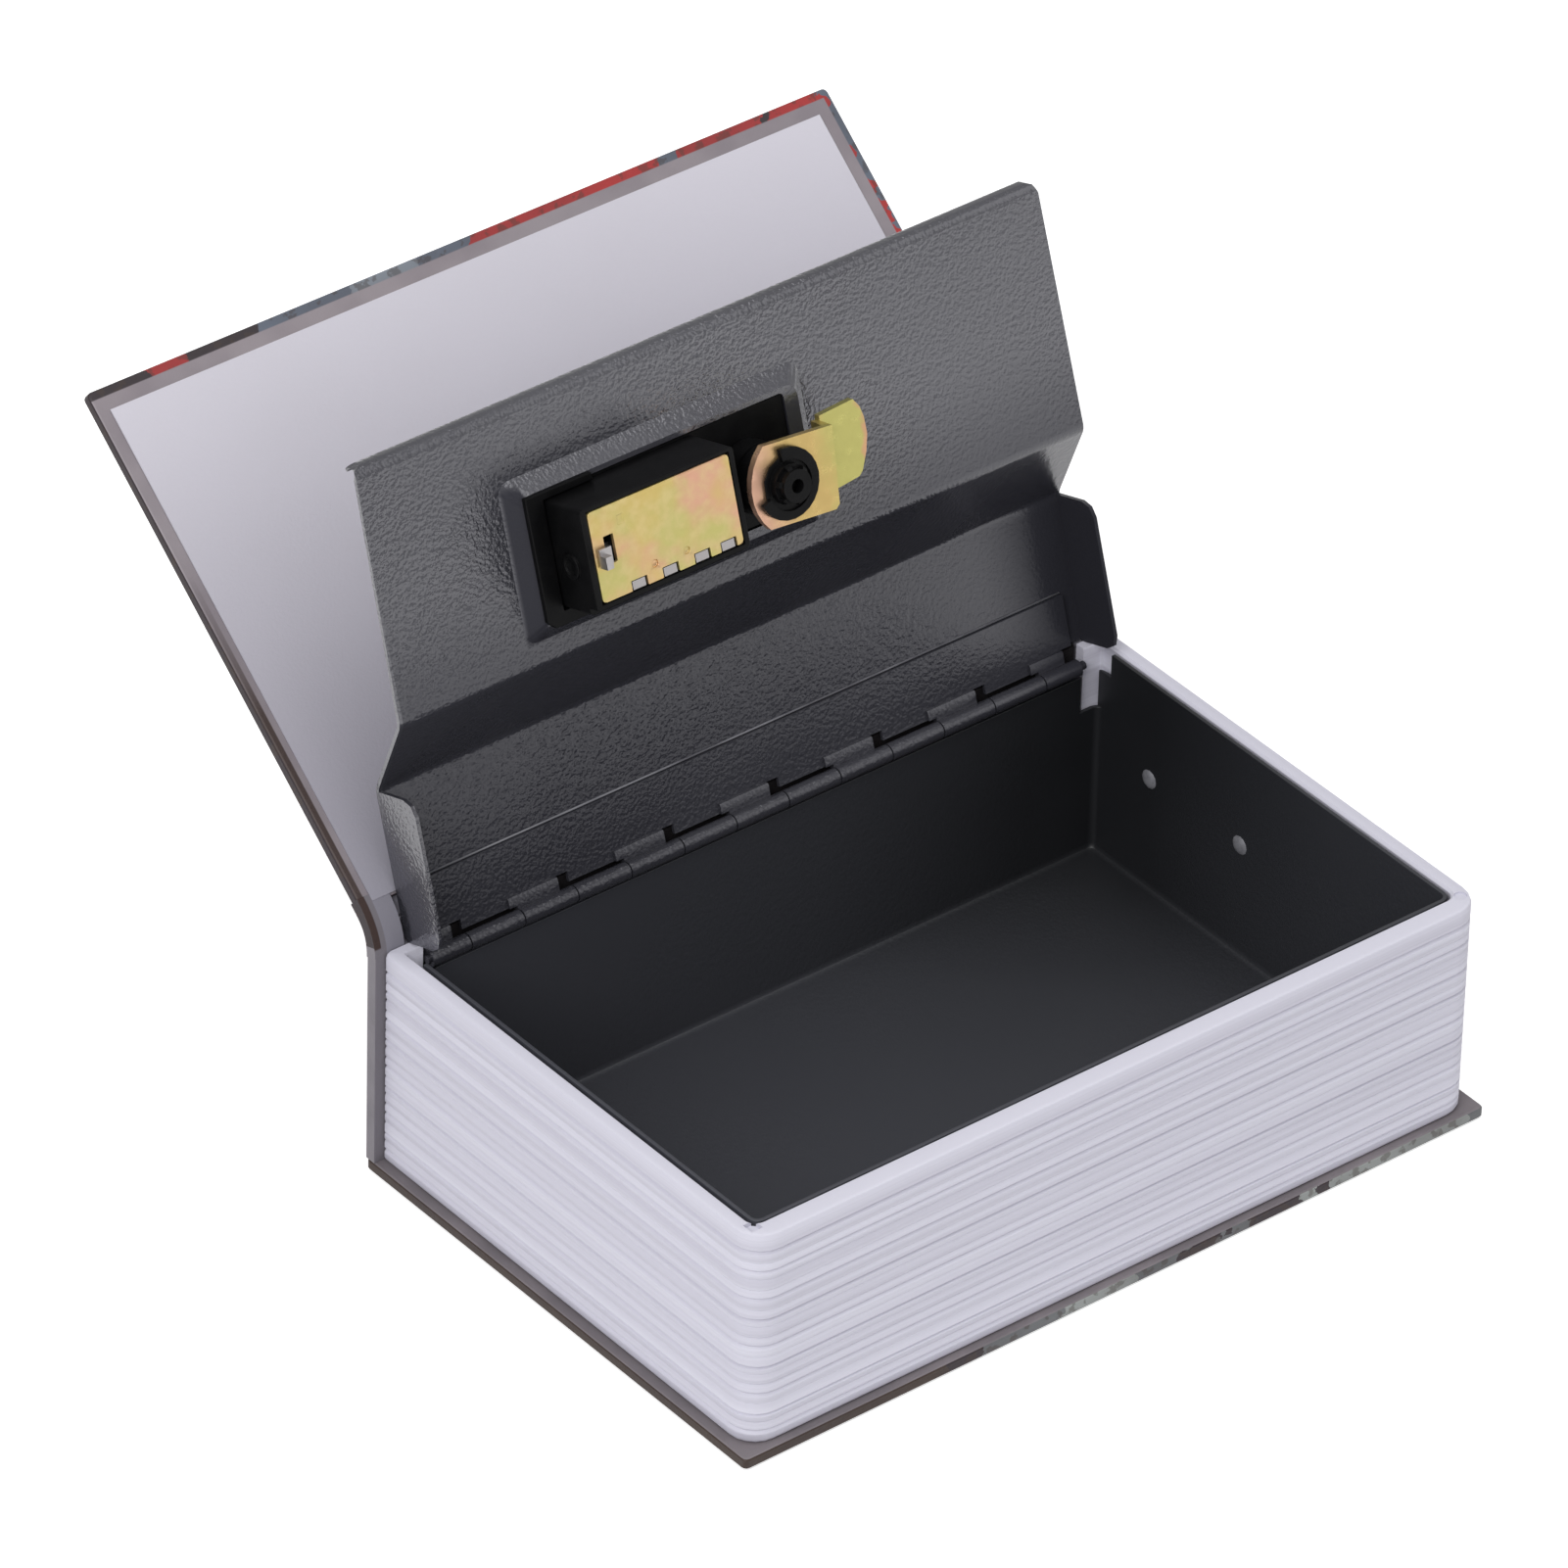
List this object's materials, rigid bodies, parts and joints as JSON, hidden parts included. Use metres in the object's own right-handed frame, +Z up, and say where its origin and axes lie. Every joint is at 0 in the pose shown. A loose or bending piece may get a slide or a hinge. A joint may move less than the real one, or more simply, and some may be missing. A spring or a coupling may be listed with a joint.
{
  "type": "book safe",
  "caption": "Hardback book that opens on a sheet-steel box with a hinged stepped lid and a code lock with a turning cam.",
  "frame": {"origin": "middle of the back board's underside", "axes": "+X along the spine from tail to head, +Y from the fore-edge to the spine, +Z up from the back board"},
  "size_m": [0.18, 0.2041, 0.1469],
  "materials": {
    "cover_paper": "satin printed paper over board",
    "endpaper": "smooth matt",
    "page_block": "satin, ridged like page edges",
    "grey_steel": "glossy hammered powder coat",
    "bright_metal": "bright",
    "black_plastic": "fine satin",
    "wheel_black": "gloss",
    "yellow_zinc": "yellow passivated zinc"
  },
  "bodies": {
    "book": {"back_board": "cover_paper", "spine_board": "cover_paper", "spine_strip": "cover_paper", "cover_crease": "cover_paper", "page_shell": "page_block", "steel_box": "grey_steel", "tail_rivet_1": "bright_metal", "tail_rivet_2": "bright_metal", "head_rivet_1": "bright_metal", "head_rivet_2": "bright_metal", "strike_plate": "grey_steel", "strike_rivet_1": "bright_metal", "strike_rivet_2": "bright_metal", "box_hinge_leaf": "grey_steel", "hinge_pin": "bright_metal"},
    "lid": {"lid_panel": "grey_steel", "lid_hinge_leaf": "grey_steel", "lock_base": "black_plastic", "lock_housing": "black_plastic", "lock_clamp": "black_plastic", "cover_plate": "yellow_zinc", "detent_spring": "bright_metal", "wheel_axle": "bright_metal"},
    "wheel_1": {"number_wheel_1": "wheel_black", "wheel_sleeve_1": "bright_metal"},
    "wheel_2": {"number_wheel_2": "wheel_black", "wheel_sleeve_2": "bright_metal"},
    "wheel_3": {"number_wheel_3": "wheel_black", "wheel_sleeve_3": "bright_metal"},
    "lever": {"code_lever": "bright_metal"},
    "cam": {"turn_knob": "black_plastic", "cam_spindle": "black_plastic", "lock_cam": "yellow_zinc", "cam_retainer": "black_plastic"},
    "fence": {"fence_bar": "bright_metal"},
    "front_cover": {"front_board": "cover_paper", "front_joint_paper": "cover_paper", "front_endpaper": "endpaper"}
  },
  "joints": [
    {"name": "lid_hinge", "type": "hinge", "parent": "book", "child": "lid", "pos_m": [0, 0.052, 0.0478], "axis": [1, 0, 0], "range_deg": [0, 108]},
    {"name": "front_cover_fold", "type": "hinge", "parent": "book", "child": "front_cover", "pos_m": [0, 0.0579, 0.055], "axis": [1, 0, 0], "range_deg": [0, 141.1]},
    {"name": "wheel_1_turn", "type": "hinge", "parent": "lid", "child": "wheel_1", "pos_m": [-0.034, 0.06027, 0.12051], "axis": [1, 0, 0], "continuous": true},
    {"name": "wheel_2_turn", "type": "hinge", "parent": "lid", "child": "wheel_2", "pos_m": [-0.0266, 0.06027, 0.12051], "axis": [1, 0, 0], "continuous": true},
    {"name": "wheel_3_turn", "type": "hinge", "parent": "lid", "child": "wheel_3", "pos_m": [-0.0192, 0.06027, 0.12051], "axis": [1, 0, 0], "continuous": true},
    {"name": "code_lever_slide", "type": "slide", "parent": "lid", "child": "lever", "axis": [0, 0.309, 0.9511], "range_m": [0, 0.003]},
    {"name": "knob_turn", "type": "hinge", "parent": "lid", "child": "cam", "pos_m": [0.0027, 0.06551, 0.11786], "axis": [0, -0.9511, 0.309], "range_deg": [0, 90]},
    {"name": "fence_slide", "type": "slide", "parent": "lid", "child": "fence", "axis": [1, 0, 0], "range_m": [0, 0.00101]}
  ],
  "couplings": [
    {"joint": "front_cover_fold", "follows": "lid_hinge", "ratio": 1.3056},
    {"joint": "fence_slide", "follows": "knob_turn", "m_per_rad": 0.0006366}
  ]
}
